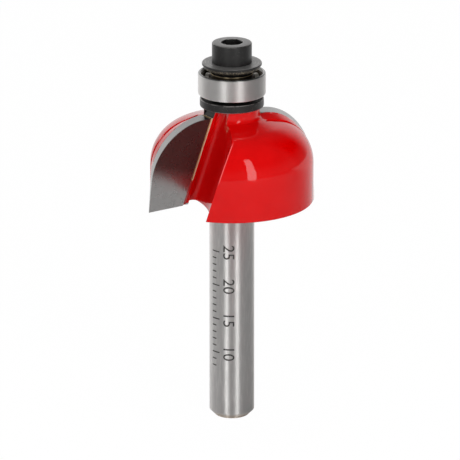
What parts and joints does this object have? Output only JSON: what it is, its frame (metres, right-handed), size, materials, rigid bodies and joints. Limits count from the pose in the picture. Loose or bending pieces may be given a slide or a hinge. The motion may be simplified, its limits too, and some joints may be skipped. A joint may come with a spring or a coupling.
{
  "type": "router bit",
  "caption": "Cove router bit with brazed carbide wings, a painted chip-limiting head, an open guide bearing under a socket screw, and a round shank.",
  "frame": {"origin": "centre of the shank's free end", "axes": "+Z along the shank towards the guide bearing, X through the wings: the rake faces run parallel to X, wing 1 on the -X side"},
  "size_m": [0.0252, 0.023, 0.055],
  "materials": {
    "head_paint": "gloss red enamel on the head, satin ground steel on the shank",
    "carbide": "ground tungsten carbide",
    "braze": "dull silver solder",
    "black_oxide": "oiled black oxide on steel",
    "bearing_steel": "fine ground",
    "ball_steel": "polished",
    "cage_steel": "pressed sheet"
  },
  "bodies": {
    "bit": {"cutter_body": "head_paint", "carbide_tip_1": "carbide", "carbide_tip_2": "carbide", "braze_seam_1": "braze", "braze_seam_2": "braze", "spacer_collar": "black_oxide", "bearing_inner_ring": "bearing_steel", "retaining_washer": "black_oxide", "cap_screw": "black_oxide"},
    "bearing_race": {"bearing_outer_ring": "bearing_steel"},
    "bearing_cage": {"cage_half_upper": "cage_steel", "cage_half_lower": "cage_steel"},
    "ball_1": {"bearing_ball_1": "ball_steel"},
    "ball_2": {"bearing_ball_2": "ball_steel"},
    "ball_3": {"bearing_ball_3": "ball_steel"},
    "ball_4": {"bearing_ball_4": "ball_steel"},
    "ball_5": {"bearing_ball_5": "ball_steel"},
    "ball_6": {"bearing_ball_6": "ball_steel"},
    "ball_7": {"bearing_ball_7": "ball_steel"},
    "ball_8": {"bearing_ball_8": "ball_steel"}
  },
  "joints": [
    {"name": "bearing_spin", "type": "hinge", "parent": "bit", "child": "bearing_race", "pos_m": [0, 0, 0.04909], "axis": [0, 0, 1], "continuous": true},
    {"name": "cage_turn", "type": "hinge", "parent": "bit", "child": "bearing_cage", "pos_m": [0, 0, 0.04909], "axis": [0, 0, 1], "continuous": true},
    {"name": "ball_1_roll", "type": "hinge", "parent": "bearing_cage", "child": "ball_1", "pos_m": [0.00299, 0.00195, 0.04909], "axis": [0, 0, 1], "continuous": true},
    {"name": "ball_2_roll", "type": "hinge", "parent": "bearing_cage", "child": "ball_2", "pos_m": [0.00074, 0.0035, 0.04909], "axis": [0, 0, 1], "continuous": true},
    {"name": "ball_3_roll", "type": "hinge", "parent": "bearing_cage", "child": "ball_3", "pos_m": [-0.00195, 0.00299, 0.04909], "axis": [0, 0, 1], "continuous": true},
    {"name": "ball_4_roll", "type": "hinge", "parent": "bearing_cage", "child": "ball_4", "pos_m": [-0.0035, 0.00074, 0.04909], "axis": [0, 0, 1], "continuous": true},
    {"name": "ball_5_roll", "type": "hinge", "parent": "bearing_cage", "child": "ball_5", "pos_m": [-0.00299, -0.00195, 0.04909], "axis": [0, 0, 1], "continuous": true},
    {"name": "ball_6_roll", "type": "hinge", "parent": "bearing_cage", "child": "ball_6", "pos_m": [-0.00074, -0.0035, 0.04909], "axis": [0, 0, 1], "continuous": true},
    {"name": "ball_7_roll", "type": "hinge", "parent": "bearing_cage", "child": "ball_7", "pos_m": [0.00195, -0.00299, 0.04909], "axis": [0, 0, 1], "continuous": true},
    {"name": "ball_8_roll", "type": "hinge", "parent": "bearing_cage", "child": "ball_8", "pos_m": [0.0035, -0.00074, 0.04909], "axis": [0, 0, 1], "continuous": true}
  ],
  "couplings": [
    {"joint": "cage_turn", "follows": "bearing_spin", "ratio": 0.61111},
    {"joint": "ball_1_roll", "follows": "bearing_spin", "ratio": 2.1389},
    {"joint": "ball_2_roll", "follows": "bearing_spin", "ratio": 2.1389},
    {"joint": "ball_3_roll", "follows": "bearing_spin", "ratio": 2.1389},
    {"joint": "ball_4_roll", "follows": "bearing_spin", "ratio": 2.1389},
    {"joint": "ball_5_roll", "follows": "bearing_spin", "ratio": 2.1389},
    {"joint": "ball_6_roll", "follows": "bearing_spin", "ratio": 2.1389},
    {"joint": "ball_7_roll", "follows": "bearing_spin", "ratio": 2.1389},
    {"joint": "ball_8_roll", "follows": "bearing_spin", "ratio": 2.1389}
  ]
}
